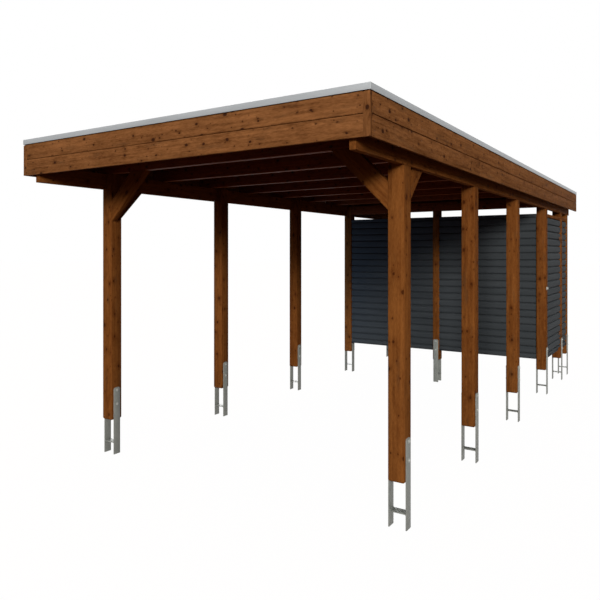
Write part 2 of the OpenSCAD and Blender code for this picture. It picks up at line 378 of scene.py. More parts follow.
@dataclass(frozen=True)
class Knots:
    """A layer of knots: one in each cell of a board's face, or none."""

    cell: tuple[float, float]
    radius: tuple[float, float]
    share: float
    halo: float
    stretch: float = 0.75
    ragged: float = 0.006
    rim: Mottle = Mottle((110.0, 110.0, 110.0))
    core: float = 0.5

    def masks(self, make: Recipe, place: Wire) -> tuple[Wire, Wire]:
        """Draw the layer.

        Args:
            make: The material in the making.
            place: Coordinates along, across and into the board.

        Returns:
            The knots' mask and the wider mask of the grain that bends round them.
        """
        cells = make.vector("DIVIDE", place, (*self.cell, 1.0))
        settings, inputs = {"voronoi_dimensions": "2D"}, {"Vector": cells, "Scale": 1.0}
        centre = make.node(Pattern.FACETS.value, settings, inputs, "Position")
        chance, spread, _ = make.split(centre.beside("Color"))
        scale = (self.cell[0] * self.stretch, self.cell[1], 0.0)
        offset = make.vector("MULTIPLY", make.vector("SUBTRACT", cells, centre), scale)
        smallest, largest = self.radius
        radius = smallest + spread * spread * (largest - smallest)
        distance = make.length(offset) + self.rim.draw(make, place) * self.ragged
        present = 1.0 - (chance > self.share)
        mask = make.ramp(distance, radius, radius * self.core) * present
        around = make.ramp(distance, radius + self.halo, 0.0) * present
        return mask, around


@dataclass(frozen=True)
class StainedTimber:
    """Walnut-brown stained softwood: figure, streaks and rings along the grain, and dark knots."""

    pale: Colour
    deep: Colour
    smudge: Colour = (0.085, 0.046, 0.022)
    knot: Colour = (0.030, 0.010, 0.005)
    large_knots: Knots = Knots(cell=(0.20, 0.10), radius=(0.008, 0.017), share=0.72, halo=0.020)
    small_knots: Knots = Knots(cell=(0.10, 0.06), radius=(0.004, 0.008), share=0.55, halo=0.012)
    small_strength: float = 0.8
    small_bend: float = 0.5
    knot_share: float = 0.92
    knot_bend: float = 0.012
    knot_shade: float = 0.34
    knot_gloss: float = 0.12
    knot_dip: float = 0.8
    figure: tuple[Mottle, ...] = (
        Mottle((7.0, 44.0, 44.0), octaves=4.0, shade=1.5),
        Mottle((2.4, 9.0, 9.0), octaves=3.0, shade=1.1),
        Mottle((0.9, 60.0, 60.0), octaves=2.0, shade=1.1, gloss=0.2),
        Mottle((38.0, 150.0, 150.0), octaves=2.0, shade=1.3),
        Mottle((9.0, 520.0, 520.0), relief=0.5),
    )
    contrast: float = 1.0
    mean_shade: float = 0.44
    tone_shade: float = 0.22
    ring_pitch: float = 0.0055
    ring_start: float = 0.025
    ring_wander: float = 0.05
    wander: Mottle = Mottle((1.3, 6.0, 6.0), octaves=2.0)
    ring_sharpness: float = 2.0
    ring_shade: float = 0.14
    ring_relief: float = 0.5
    patches: Mottle = Mottle((4.2, 19.0, 19.0), octaves=3.0)
    patch_edge: tuple[float, float] = (0.05, 0.28)
    patch_share: float = 0.4
    roughness: float = 0.72
    specular: float = 0.01
    relief: float = 0.0006

    def material(self, name: str) -> bpy.types.Material:
        """Build the node tree.

        Args:
            name: Name of the material.

        Returns:
            The finished material.
        """
        make = Finish(name)
        place = make.attribute(GRAIN, "Vector")
        tone = make.attribute(TONE, "Fac") - NOISE_MEAN
        large, near_large = self.large_knots.masks(make, place)
        small, near_small = self.small_knots.masks(make, place)
        knot = large.larger(small * self.small_strength)
        near = near_large.larger(near_small * self.small_bend)
        pith = make.length(make.vector("MULTIPLY", place, (0.0, 1.0, 1.0)))
        wander = self.wander.draw(make, place) * self.ring_wander + self.ring_start
        rings = (pith + wander + near * self.knot_bend) / self.ring_pitch
        rings = rings.fraction() ** self.ring_sharpness
        figure, gloss, fibres = make.blend(place, self.figure)
        shade = self.mean_shade + figure * self.contrast + tone * self.tone_shade
        shade = (shade + rings * self.ring_shade + near * self.knot_shade).clamped()
        patches = make.ramp(self.patches.draw(make, place), *self.patch_edge)
        colour = make.mix(shade, self.pale, self.deep)
        colour = make.mix(patches * self.patch_share, colour, self.smudge)
        colour = make.mix(knot * self.knot_share, colour, self.knot)
        relief = fibres + rings * self.ring_relief - knot * self.knot_dip
        return make.dress(
            Base_Color=colour,
            Roughness=self.roughness + gloss - knot * self.knot_gloss,
            Normal=make.bump(relief, self.relief),
            Specular_IOR_Level=self.specular,
        )


@dataclass(frozen=True)
class Coat:
    """A finish of two mingled colours, with layers in its colour, gloss and relief."""

    dark: Colour
    pale: Colour
    layers: tuple[Mottle, ...]
    roughness: float
    relief: float
    mean_shade: float = 0.5
    metallic: float = 0.0
    specular: float = 0.5

    def place(self, make: Finish) -> Wire:
        """Coordinates of the layers in metres."""
        return make.object_place()

    def share(self, make: Finish, mottle: Wire) -> Wire:
        """Share of the pale colour, from the sum of the layers."""
        return (self.mean_shade + mottle).clamped()

    def material(self, name: str) -> bpy.types.Material:
        """Build the node tree.

        Args:
            name: Name of the material.

        Returns:
            The finished material.
        """
        make = Finish(name)
        mottle, gloss, relief = make.blend(self.place(make), self.layers)
        return make.dress(
            Base_Color=make.mix(self.share(make, mottle), self.dark, self.pale),
            Metallic=self.metallic,
            Roughness=self.roughness + gloss,
            Normal=make.bump(relief, self.relief),
            Specular_IOR_Level=self.specular,
        )


@dataclass(frozen=True)
class SlatePaint(Coat):
    """Slate-grey satin paint that lets the boards' grain show as fine relief."""

    dark: Colour = (0.036, 0.041, 0.046)
    pale: Colour = (0.060, 0.066, 0.072)
    layers: tuple[Mottle, ...] = (
        Mottle((1.4, 60.0, 60.0), octaves=3.0, shade=0.7, relief=0.6),
        Mottle((8.0, 480.0, 480.0), gloss=0.1, relief=0.6),
        Mottle((2.2, 9.0, 9.0), octaves=3.0, shade=0.6, gloss=0.2),
    )
    roughness: float = 0.55
    relief: float = 0.0005
    mean_shade: float = 0.4
    specular: float = 0.008
    tone_shade: float = 0.3

    def place(self, make: Finish) -> Wire:
        """Coordinates along each board's own grain."""
        return make.attribute(GRAIN, "Vector")

    def share(self, make: Finish, mottle: Wire) -> Wire:
        """Share of the pale colour, with each board's own tone."""
        tone = make.attribute(TONE, "Fac") - NOISE_MEAN
        return (self.mean_shade + mottle + tone * self.tone_shade).clamped()


@dataclass(frozen=True)
class GalvanisedSteel(Coat):
    """Hot-dip zinc: a mottled spangle of matt greys."""

    dark: Colour = (0.175, 0.182, 0.168)
    pale: Colour = (0.275, 0.284, 0.264)
    layers: tuple[Mottle, ...] = (
        Mottle((70.0, 70.0, 70.0), shade=0.4, gloss=0.16, relief=0.3, pattern=Pattern.FACETS),
        Mottle((14.0, 14.0, 9.0), octaves=4.0, shade=1.1, gloss=0.2),
        Mottle((900.0, 900.0, 900.0), relief=0.3),
    )
    roughness: float = 0.55
    relief: float = 0.0002
    metallic: float = 0.15


@dataclass(frozen=True)
class PaintedSteel(Coat):
    """Painted steel, with the dark paint rubbed thin and pale in places."""

    layers: tuple[Mottle, ...] = (
        Mottle((45.0, 45.0, 45.0), octaves=5.0, shade=1.0, gloss=0.3),
        Mottle((420.0, 420.0, 420.0), relief=1.0),
    )
    roughness: float = 0.55
    relief: float = 0.0002
    specular: float = 0.1
    rubbed_edge: tuple[float, float] = (0.06, 0.24)

    def share(self, make: Finish, mottle: Wire) -> Wire:
        """Share of the rubbed paint, in patches with soft edges."""
        return make.ramp(mottle, *self.rubbed_edge)


@dataclass(frozen=True)
class EdgeMetal(Coat):
    """Mill aluminium with faint rolling marks and water stains."""

    dark: Colour = (0.300, 0.318, 0.335)
    pale: Colour = (0.440, 0.462, 0.485)
    layers: tuple[Mottle, ...] = (
        Mottle((3.0, 3.0, 26.0), octaves=4.0, shade=1.0, gloss=0.2),
        Mottle((4.0, 4.0, 900.0), shade=0.3, relief=1.0),
    )
    roughness: float = 0.42
    relief: float = 0.0001
    metallic: float = 0.35


@dataclass(frozen=True)
class RoofSheet(Coat):
    """Black roofing sheet with a mineral grain and dried puddle marks."""

    dark: Colour = (0.018, 0.019, 0.020)
    pale: Colour = (0.062, 0.062, 0.060)
    layers: tuple[Mottle, ...] = (
        Mottle((1.6, 1.6, 1.6), octaves=5.0, shade=1.6, gloss=0.2),
        Mottle((700.0, 700.0, 700.0), shade=0.7, relief=1.0),
    )
    roughness: float = 0.82
    relief: float = 0.0006
    mean_shade: float = 0.35
    specular: float = 0.25


@dataclass(frozen=True)
class Finishes:
    """The object's materials, one for each look."""

    materials: dict[Look, bpy.types.Material]

    @classmethod
    def mixed(cls) -> "Finishes":
        """Make every finish once.

        Returns:
            The finishes.
        """
        makers = {
            Look.FASCIA_TIMBER: StainedTimber(
                pale=(0.262, 0.106, 0.037),
                deep=(0.100, 0.036, 0.011),
                contrast=0.85,
            ),
            Look.POST_TIMBER: StainedTimber(
                pale=(0.240, 0.085, 0.020),
                deep=(0.098, 0.028, 0.006),
                knot=(0.050, 0.013, 0.003),
                large_knots=Knots(cell=(0.24, 0.10), radius=(0.010, 0.020), share=0.65, halo=0.030),
                small_knots=Knots(cell=(0.13, 0.065), radius=(0.005, 0.009), share=0.55, halo=0.016),
                contrast=0.7,
            ),
            # Painted shade: the same stain made darker and redder for the rafters, the header and the roof
            # boards.
            Look.ROOF_TIMBER: StainedTimber(
                pale=(0.160, 0.037, 0.010),
                deep=(0.070, 0.012, 0.003),
                contrast=0.8,
                roughness=0.6,
                specular=0.03,
            ),
            Look.SLATE_PAINT: SlatePaint(),
            Look.EDGE_METAL: EdgeMetal(),
            Look.ZINC: GalvanisedSteel(),
            # Plated zinc for the bolts and the latch: partly lighter metal, partly a painted highlight
            # standing in for their glints.
            Look.BRIGHT_ZINC: GalvanisedSteel(
                dark=(0.32, 0.33, 0.31),
                pale=(0.46, 0.47, 0.45),
                roughness=0.4,
            ),
            Look.DARK_STEEL: PaintedSteel(dark=(0.030, 0.034, 0.039), pale=(0.075, 0.080, 0.085)),
            Look.BROWN_STEEL: PaintedSteel(dark=(0.110, 0.040, 0.012), pale=(0.160, 0.075, 0.035)),
            Look.ROOF_SHEET: RoofSheet(),
        }
        return cls({look: maker.material(look.label) for look, maker in makers.items()})


class Bench:
    """Modelling by operators. Each call ends in object mode with its piece selected and active."""

    @staticmethod
    def take(*pieces: Piece) -> None:
        """Select some pieces alone.

        Args:
            pieces: The pieces, of which the first one becomes active.
        """
        bpy.ops.object.select_all(action="DESELECT")
        for piece in pieces:
            piece.select_set(True)
        bpy.context.view_layer.objects.active = pieces[0]

    @staticmethod
    def named(name: str) -> Piece:
        """Name the active object, and put its place into its mesh.

        Args:
            name: Name of the piece.

        Returns:
            The piece.
        """
        piece = bpy.context.active_object
        piece.name = name
        piece.data.name = name
        bpy.ops.object.transform_apply(location=True, rotation=True, scale=True)
        return piece

    @staticmethod
    def block(name: str, box: Box) -> Piece:
        """Add a cube with the size and place of a box.

        Args:
            name: Name of the piece.
            box: Lowest and highest corner in metres.

        Returns:
            The new piece.
        """
        low, high = box
        bpy.ops.object.select_all(action="DESELECT")
        bpy.ops.mesh.primitive_cube_add(size=1.0, location=(low + high) / 2, scale=high - low)
        return Bench.named(name)

    @staticmethod
    def rod(name: str, start: Vector, end: Vector, radius: float, sides: int) -> Piece:
        """Add a cylinder between two points.

        Args:
            name: Name of the piece.
            start: Middle of one end.
            end: Middle of the other end.
            radius: Radius in metres.
            sides: Number of sides.

        Returns:
            The new piece.
        """
        along = end - start
        bpy.ops.object.select_all(action="DESELECT")
        bpy.ops.mesh.primitive_cylinder_add(
            vertices=sides,
            radius=radius,
            depth=along.length,
            location=(start + end) / 2,
            rotation=along.to_track_quat("Z", "Y").to_euler(),
        )
        return Bench.named(name)

    @staticmethod
    @contextmanager
    def editing(piece: Piece) -> Iterator[None]:
        """Work on a piece in edit mode, with nothing selected at the start.

        Args:
            piece: The piece.

        Returns:
            A context that ends in object mode.
        """
        Bench.take(piece)
        bpy.ops.object.mode_set(mode="EDIT")
        bpy.ops.mesh.select_all(action="DESELECT")
        yield
        bpy.ops.object.mode_set(mode="OBJECT")

    @staticmethod
    def chamfer(
        piece: Piece,
        test: Callable[[Vector, Vector], bool],
        width: float,
        segments: int = 1,
    ) -> None:
        """Bevel some of a piece's edges.

        Args:
            piece: The piece.
            test: Takes an edge's two ends, and says whether to bevel it.
            width: Width of the bevel in metres.
            segments: Faces across the bevel.
        """
        with Bench.editing(piece):
            bpy.ops.mesh.select_mode(type="EDGE")
            for edge in bmesh.from_edit_mesh(piece.data).edges:
                edge.select_set(test(edge.verts[0].co, edge.verts[1].co))
            bmesh.update_edit_mesh(piece.data)
            bpy.ops.mesh.bevel(offset=width, segments=segments, affect="EDGES")

    @staticmethod
    def step(piece: Piece, outwards: Vector, rim: float, reach: float) -> None:
        """Inset the face that looks one way, and draw the rest of it that way.

        Args:
            piece: The piece.
            outwards: Direction of the face.
            rim: Width of the rim that stays, in metres.
            reach: How far the rest goes outwards, in metres.
        """
        with Bench.editing(piece):
            bpy.ops.mesh.select_mode(type="FACE")
            for face in bmesh.from_edit_mesh(piece.data).faces:
                face.select_set(face.normal.dot(outwards) > FACING)
            bmesh.update_edit_mesh(piece.data)
            bpy.ops.mesh.inset(thickness=rim)
            bpy.ops.mesh.extrude_region_move(TRANSFORM_OT_translate={"value": outwards * reach})

    @staticmethod
    def saw(piece: Piece, place: Vector, normal: Vector) -> None:
        """Cut off what lies beyond a plane, and close the cut.

        Args:
            piece: The piece.
            place: A point on the plane.
            normal: Direction of what is cut off.
        """
        with Bench.editing(piece):
            bpy.ops.mesh.select_all(action="SELECT")
            bpy.ops.mesh.bisect(plane_co=place, plane_no=normal, use_fill=True, clear_outer=True)

    @staticmethod
    def ease(piece: Piece, width: float, segments: int = 2) -> Piece:
        """Round a piece's sharp edges.

        Args:
            piece: The piece.
            width: Width of the rounding in metres.
            segments: Faces across the rounding.

        Returns:
            The same piece.
        """
        Bench.take(piece)
        bevel = piece.modifiers.new("eased_edges", "BEVEL")
        bevel.width = width
        bevel.segments = segments
        bevel.limit_method = "ANGLE"
        bevel.angle_limit = SHARP_ANGLE
        bpy.ops.object.modifier_apply(modifier=bevel.name)
        bpy.ops.object.shade_smooth_by_angle(angle=SMOOTH_ANGLE)
        return piece

    @staticmethod
    def copied(piece: Piece, name: str, move: Matrix) -> Piece:
        """Copy a piece with its own mesh.

        Args:
            piece: The model piece.
            name: Name of the copy.
            move: Where the copy goes, applied to its mesh.

        Returns:
            The copy.
        """
        copy = piece.copy()
        copy.data = piece.data.copy()
        copy.name = name
        copy.data.name = name
        copy.data.transform(move)
        bpy.context.scene.collection.objects.link(copy)
        return copy

    @staticmethod
    def joined(name: str, pieces: Sequence[Piece]) -> Piece:
        """Join pieces into one.

        Args:
            name: Name of the joined piece.
            pieces: The pieces, of which the first one takes in the others.

        Returns:
            The joined piece.
        """
        Bench.take(*pieces)
        if len(pieces) > 1:
            bpy.ops.object.join()
        return Bench.named(name)

    @staticmethod
    def discard(piece: Piece) -> None:
        """Delete a model piece that has been copied."""
        bpy.data.objects.remove(piece)

    @staticmethod
    def from_node(name: str, node: str) -> Piece:
        """Copy a CAD node with merged vertices and plain faces.

        Args:
            name: Name of the piece.
            node: The CAD node.

        Returns:
            The new piece.
        """
        piece = Bench.copied(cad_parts[node], name, Matrix.Identity(4))
        piece.parent = None
        for key in list(piece.keys()):
            del piece[key]
        piece.data.materials.clear()
        with Bench.editing(piece):
            bpy.ops.mesh.select_all(action="SELECT")
            bpy.ops.mesh.remove_doubles(threshold=MERGE_DISTANCE)
            bpy.ops.mesh.dissolve_limited(angle_limit=FLAT_ANGLE)
        return piece


def solid_boxes(node: str) -> list[Box]:
    """Boxes of a CAD node's separate solids.

    Args:
        node: The CAD node.

    Returns:
        A lowest and a highest corner for each solid, in order of place.
    """
    shape = bmesh.new()
    shape.from_mesh(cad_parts[node].data)
    bmesh.ops.remove_doubles(shape, verts=shape.verts, dist=MERGE_DISTANCE)
    left = set(shape.verts)
    boxes = []
    while left:
        reached = [left.pop()]
        for vert in reached:
            for edge in vert.link_edges:
                other = edge.other_vert(vert)
                if other in left:
                    left.remove(other)
                    reached.append(other)
        places = np.array([vert.co for vert in reached])
        boxes.append((Vector(places.min(axis=0)), Vector(places.max(axis=0))))
    shape.free()
    return sorted(boxes, key=lambda box: tuple(round(part, PLACE_DIGITS) for part in box[0]))


def longest_axis(box: Box) -> Axis:
    """Axis along which a box is longest."""
    size = box[1] - box[0]
    return max(Axis, key=lambda axis: size[axis.value])


def face_point(box: Box, outwards: Vector, step: float, height: float) -> Vector:
    """Find a point on an upright face of a box.

    Args:
        box: Lowest and highest corner.
        outwards: Direction away from the face.
        step: Place along the face.
        height: Height of the point.

    Returns:
        The point.
    """
    low, high = box
    through = Axis.Y.value if outwards.x == 0 else Axis.X.value
    point = Vector((step, step, height))
    point[through] = high[through] if outwards[through] > 0 else low[through]
    return point


class Grain:
    """Lays each board's own wood coordinates and tone on its mesh, as attributes."""

    PITH_REACH = (0.02, 0.09)
    LOG_LENGTH = 60.0
    SIDES = 4

    def __init__(self, seed: int) -> None:
        """Start a fixed row of draws."""
        self.draw = random.Random(seed)

    def lay(self, piece: Piece, along: Vector) -> Piece:
        """Write the attributes of one board, so that each of its long sides shows its own cut.

        Args:
            piece: The board.
            along: Direction of its grain.

        Returns:
            The same board.
        """
        mesh = piece.data
        length = along.normalized()
        across = UP.cross(length)
        side = across.normalized() if across.length > MERGE_DISTANCE else Axis.X.vector
        turn = np.array([length, side, length.cross(side)])
        places = self.read(mesh.vertices, "co", 3)
        owners = self.read(mesh.loops, "vertex_index", 1).ravel()
        corners = ((places - places.mean(axis=0)) @ turn.T)[owners]
        facing = np.repeat(
            self.read(mesh.polygons, "normal", 3) @ turn.T,
            self.read(mesh.polygons, "loop_total", 1).ravel(),
            axis=0,
        )
        sideways = np.abs(facing[:, 1]) > np.abs(facing[:, 2])
        corners[sideways] = corners[sideways][:, [0, 2, 1]]
        shown = np.where(sideways, facing[:, 1], facing[:, 2])
        shifts = np.array([self.shift() for _ in range(self.SIDES)])
        corners += shifts[2 * sideways + (shown > 0)]
        grain = mesh.attributes.new(GRAIN, "FLOAT_VECTOR", "CORNER")
        grain.data.foreach_set("vector", corners.astype(np.float32).ravel())
        tone = mesh.attributes.new(TONE, "FLOAT", "POINT")
        tone.data.foreach_set("value", np.full(len(places), self.draw.random(), np.float32))
        return piece

    @staticmethod
    def read(items: bpy.types.bpy_prop_collection, name: str, width: int) -> np.ndarray:
        """Read a value of each mesh item.

        Args:
            items: The mesh's vertices, loops or polygons.
            name: Name of the value.
            width: Numbers in one value.

        Returns:
            A row for each item.
        """
        whole = name in ("vertex_index", "loop_total")
        values = np.empty(len(items) * width, np.int32 if whole else np.float32)
        items.foreach_get(name, values)
        return values.reshape(-1, width)

    def shift(self) -> np.ndarray:
        """Draw a place in the log for the next side of a board.

        Returns:
            A place along the log, and two from its pith.
        """
        reach = self.draw.uniform(*self.PITH_REACH)
        turn = self.draw.uniform(0, 2 * math.pi)
        along = self.draw.uniform(0, self.LOG_LENGTH)
        return np.array([along, reach * math.cos(turn), reach * math.sin(turn)])


@dataclass
class Workshop:
    """What every sub-assembly needs: the finishes and the grain."""

    finishes: Finishes
    grain: Grain

    def stick(self, name: str, box: Box, ease: float) -> Piece:
        """Make a sawn timber with eased edges and its grain along its length."""
        piece = Bench.ease(Bench.block(name, box), ease)
        return self.grain.lay(piece, longest_axis(box).vector)

    def hand_over(
        self,
        piece: Piece,
        look: Look,
        nodes: Sequence[str] = (),
        body: Body = Body.FRAME,
    ) -> None:
        """Give a finished piece its material, its body and the nodes that it stands for.

        Args:
            piece: The finished piece.
            look: Its finish.
            nodes: CAD nodes that it replaces.
            body: The body that it rides on.
        """
        piece.data.materials.clear()
        piece.data.materials.append(self.finishes.materials[look])
        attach(piece, body.value)
        if nodes:
            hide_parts(*nodes)
        LOG.info("%s: %d faces on %s", piece.name, len(piece.data.polygons), body.value)


@dataclass(frozen=True)
class Screw:
    """A countersunk screw, of which the head shows."""

    radius: float = 0.0045
    proud: float = 0.0006
    sunk: float = 0.0014
    recess: float = 0.0018
    sides: int = 10

    def model(self, outwards: Vector) -> Piece:
        """Make one head at the origin, with the socket for the driver.

        Args:
            outwards: Direction away from the surface.

        Returns:
            The head.
        """
        head = Bench.rod("screw", outwards * -self.sunk, outwards * self.proud, self.radius, self.sides)
        Bench.step(head, outwards, self.radius - self.recess, -self.sunk)
        return head

    def row(self, name: str, outwards: Vector, places: Sequence[Vector]) -> Piece:
        """Set a head at each place.

        Args:
            name: Name of the piece.
            outwards: Direction away from the surface.
            places: Points on the surface.

        Returns:
            The heads as one piece.
        """
        model = self.model(outwards)
        heads = [Bench.copied(model, "screw", Matrix.Translation(place)) for place in places]
        Bench.discard(model)
        return Bench.joined(name, heads)


@dataclass
class TimberFrame:
    """Posts, purlins, rafters, header and braces."""

    shop: Workshop
    post_ease: float = 0.004
    foot_chamfer: float = 0.009
    beam_ease: float = 0.003
    brace_width: float = 0.130
    beams: tuple[tuple[str, Look], ...] = (
        ("purlin_left", Look.POST_TIMBER),
        ("purlin_right", Look.POST_TIMBER),
        # The rafters and the header take the stain darkened as painted shade.
        ("rafters", Look.ROOF_TIMBER),
        ("shed_header", Look.ROOF_TIMBER),
    )
    # The front and rear rails are painted slate as painted shade, standing in for the roof's shade over
    # them; the side rails stay stained.
    rails: tuple[tuple[Axis, Look], ...] = ((Axis.Y, Look.POST_TIMBER), (Axis.X, Look.SLATE_PAINT))
    braces: tuple[str, ...] = ("braces_front_left", "braces_front_right")

    def build(self) -> None:
        """Build every timber of the frame."""
        for node in sorted(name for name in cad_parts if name.startswith("post_")):
            self.shop.hand_over(self.post(node), Look.POST_TIMBER, [node])
        for node, look in self.beams:
            sticks = [self.shop.stick(node, box, self.beam_ease) for box in solid_boxes(node)]
            beam = Bench.joined(f"{node}_timber", sticks)
            self.shop.hand_over(beam, look, [node])
        # Front and rear rails: slate paint as painted shade.
        for axis, look in self.rails:
            boxes = [box for box in solid_boxes("wall_top_rails") if longest_axis(box) is axis]
            sticks = [self.shop.stick("rail", box, self.beam_ease) for box in boxes]
            rails = Bench.joined(f"wall_top_rails_along_{axis.name.lower()}", sticks)
            self.shop.hand_over(rails, look, ["wall_top_rails"])
        for node in self.braces:
            sticks = [self.brace(node, box) for box in solid_boxes(node)]
            pair = Bench.joined(f"{node}_timber", sticks)
            self.shop.hand_over(pair, Look.POST_TIMBER, [node])

    def post(self, node: str) -> Piece:
        """Cut a notched post to its node's shape, with a chamfer round its foot.

        Args:
            node: The CAD node.

        Returns:
            The post.
        """
        piece = Bench.from_node(f"{node}_timber", node)
        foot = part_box(node)[0].z + self.foot_chamfer
        Bench.chamfer(piece, lambda a, b: max(a.z, b.z) < foot, self.foot_chamfer)
        Bench.ease(piece, self.post_ease)
        return self.shop.grain.lay(piece, UP)

    def brace(self, name: str, box: Box) -> Piece:
        """Saw a brace out of the block that holds it, along the block's diagonal.

        Args:
            name: Name of the piece.
            box: Lowest and highest corner of the brace.

        Returns:
            The brace.
        """
        low, high = box
        along_y = (high - low).y > (high - low).x
        run = Axis.Y.vector if along_y else Axis.X.vector
        rises = along_y or low.x < 0
        lean = run if rises else -run
        foot = Vector((low.x if rises else high.x, low.y, low.z))
        piece = Bench.block(name, box)
        outwards = (lean - UP).normalized()
        Bench.saw(piece, foot, outwards)
        Bench.saw(piece, foot - outwards * self.brace_width, -outwards)
        Bench.ease(piece, self.beam_ease)
        return self.shop.grain.lay(piece, lean + UP)


@dataclass
class RoofEdge:
    """Fascia boards with a tongued joint, corner battens, the metal edge trim and the screws."""

    shop: Workshop
    ease: float = 0.0010
    batten_ease: float = 0.0006
    tongue_rebate: float = 0.008
    shadow_gap: float = 0.006
    trim_ease: float = 0.0012
    screw_inset: float = 0.035
    screw: Screw = Screw()
    fascias: tuple[tuple[str, Vector], ...] = (
        ("fascia_front", -Axis.Y.vector),
        ("fascia_left", -Axis.X.vector),
        ("fascia_right", Axis.X.vector),
        ("fascia_rear", Axis.Y.vector),
    )
    trims: tuple[str, ...] = ("roof_trim_front", "roof_trim_rear", "roof_trim_left", "roof_trim_right")

    def build(self) -> None:
        """Build the fascias with their screws, the battens and the trims."""
        for node, outwards in self.fascias:
            boxes = sorted(solid_boxes(node), key=lambda box: box[0].z)
            tops = [box[0].z for box in boxes[1:]] + [boxes[-1][1].z]
            boards = [self.board(node, box, top, self.ease) for box, top in zip(boxes, tops)]
            self.shop.hand_over(Bench.joined(f"{node}_boards", boards), Look.FASCIA_TIMBER, [node])
            places = [place for box in boxes for place in self.fixings(box, outwards)]
            screws = self.screw.row(f"{node}_screws", outwards, places)
            self.shop.hand_over(screws, Look.BROWN_STEEL)
        boxes = solid_boxes("corner_battens")
        battens = [self.board("batten", box, box[1].z, self.batten_ease) for box in boxes]
        pair = Bench.joined("corner_batten_pair", battens)
        self.shop.hand_over(pair, Look.FASCIA_TIMBER, ["corner_battens"])
        for node in self.trims:
            trim = Bench.ease(Bench.from_node(f"{node}_metal", node), self.trim_ease)
            self.shop.hand_over(trim, Look.EDGE_METAL, [node])

    def board(self, name: str, box: Box, next_z: float, ease: float) -> Piece:
        """Make a fascia board with a tongue set back from its face.

        The tongue fills the gap to the board above, or the top board's stretch behind the trim.

        Args:
            name: Name of the piece.
            box: Lowest and highest corner.
            next_z: Height up to which the tongue reaches.
            ease: Width of the rounding in metres.

        Returns:
            The board.
        """
        low, high = box[0], box[1].copy()
        high.z = self.face_top(box)
        piece = Bench.block(name, (low, high))
        Bench.step(piece, UP, self.tongue_rebate, next_z - high.z)
        Bench.ease(piece, ease)
        return self.shop.grain.lay(piece, longest_axis(box).vector)

    def face_top(self, box: Box) -> float:
        """Height at which a board's face ends, in the trim's shadow or below it."""
        return min(box[1].z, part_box(self.trims[0])[0].z - self.shadow_gap)

    def fixings(self, box: Box, outwards: Vector) -> list[Vector]:
        """Places of the screws: two at each rafter's end, or at the same distance along a rafter.

        Args:
            box: Lowest and highest corner of a board.
            outwards: Direction away from the board.

        Returns:
            Points on the board's face.
        """
        low, high = box
        steps = [(rafter[0].y + rafter[1].y) / 2 for rafter in solid_boxes("rafters")]
        if outwards.x == 0:
            count = round((high.x - low.x) / (steps[1] - steps[0]))
            first, last = low.x + self.screw_inset, high.x - self.screw_inset
            steps = [first + (last - first) * index / count for index in range(count + 1)]
        heights = (low.z + self.screw_inset, self.face_top(box) - self.screw_inset)
        return [face_point(box, outwards, step, height) for step in steps for height in heights]


@dataclass
class RoofDeck:
    """Roof boards with V joints below, under a lapped roofing sheet."""

    shop: Workshop
    board_width: float = 0.115
    joint_chamfer: float = 0.004
    sheet_width: float = 1.0
    lap_width: float = 0.1
    lap_height: float = 0.0012
    lap_ease: float = 0.0005

    def build(self) -> None:
        """Build the boards and the sheet."""
        # The roof boards take the stain darkened as painted shade.
        self.shop.hand_over(self.boards(), Look.ROOF_TIMBER, ["roof_boarding"])
        self.shop.hand_over(self.sheet(), Look.ROOF_SHEET, ["roof_membrane"])

    def boards(self) -> Piece:
        """Lay boards side by side over the rafters.

        Returns:
            The boards as one piece.
        """
        low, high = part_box("roof_boarding")
        count = round((high.x - low.x) / self.board_width)
        pitch = (high.x - low.x) / count
        half = (low.z + high.z) / 2
        model = Bench.block("roof_board", (low, Vector((low.x + pitch, high.y, high.z))))

        def lower_side(a: Vector, b: Vector) -> bool:
            """Tell whether an edge runs along the board's lower side."""
            return max(a.z, b.z) < half and abs(a.x - b.x) < pitch / 2

        Bench.chamfer(model, lower_side, self.joint_chamfer)
        boards = []
        for index in range(count):
            move = Matrix.Translation((index * pitch, 0, 0))
            board = Bench.copied(model, "roof_board", move)
            boards.append(self.shop.grain.lay(board, Axis.Y.vector))
        Bench.discard(model)
        return Bench.joined("roof_boarding_boards", boards)

    def sheet(self) -> Piece:
        """Make the roofing sheet with raised laps across the roof.

        Returns:
            The sheet.
        """
        low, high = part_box("roof_membrane")
        level = high.z - self.lap_height
        parts = [Bench.block("sheet", (low, Vector((high.x, high.y, level))))]
        count = round((high.y - low.y) / self.sheet_width)
        for index in range(1, count):
            y = low.y + index * (high.y - low.y) / count
            corners = (Vector((low.x, y, level)), Vector((high.x, y + self.lap_width, high.z)))
            parts.append(Bench.ease(Bench.block("lap", corners), self.lap_ease))
        return Bench.joined("roof_membrane_sheets", parts)


@dataclass(frozen=True)
class Panel:
    """A clad panel: the CAD node it stands for, its length and the side that shows."""

    node: str
    along: Axis
    outside: Vector
    body: Body = Body.FRAME
    skirt: float = 0.0

    @property
    def through(self) -> int:
        """Index of the axis through the panel."""
        return 1 - self.along.value

    def layer(self, depth: float, outer: bool) -> Box:
        """The outer or the inner layer of the panel.

        Args:
            depth: Thickness of the outer layer.
            outer: Whether the outer layer is wanted.

        Returns:
            Lowest and highest corner.
        """
        low, high = (corner.copy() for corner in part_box(self.node))
        axis = self.through
        outwards = self.outside[axis] > 0
        split = high[axis] - depth if outwards else low[axis] + depth
        if outer == outwards:
            low[axis] = split
        else:
            high[axis] = split
        return low, high


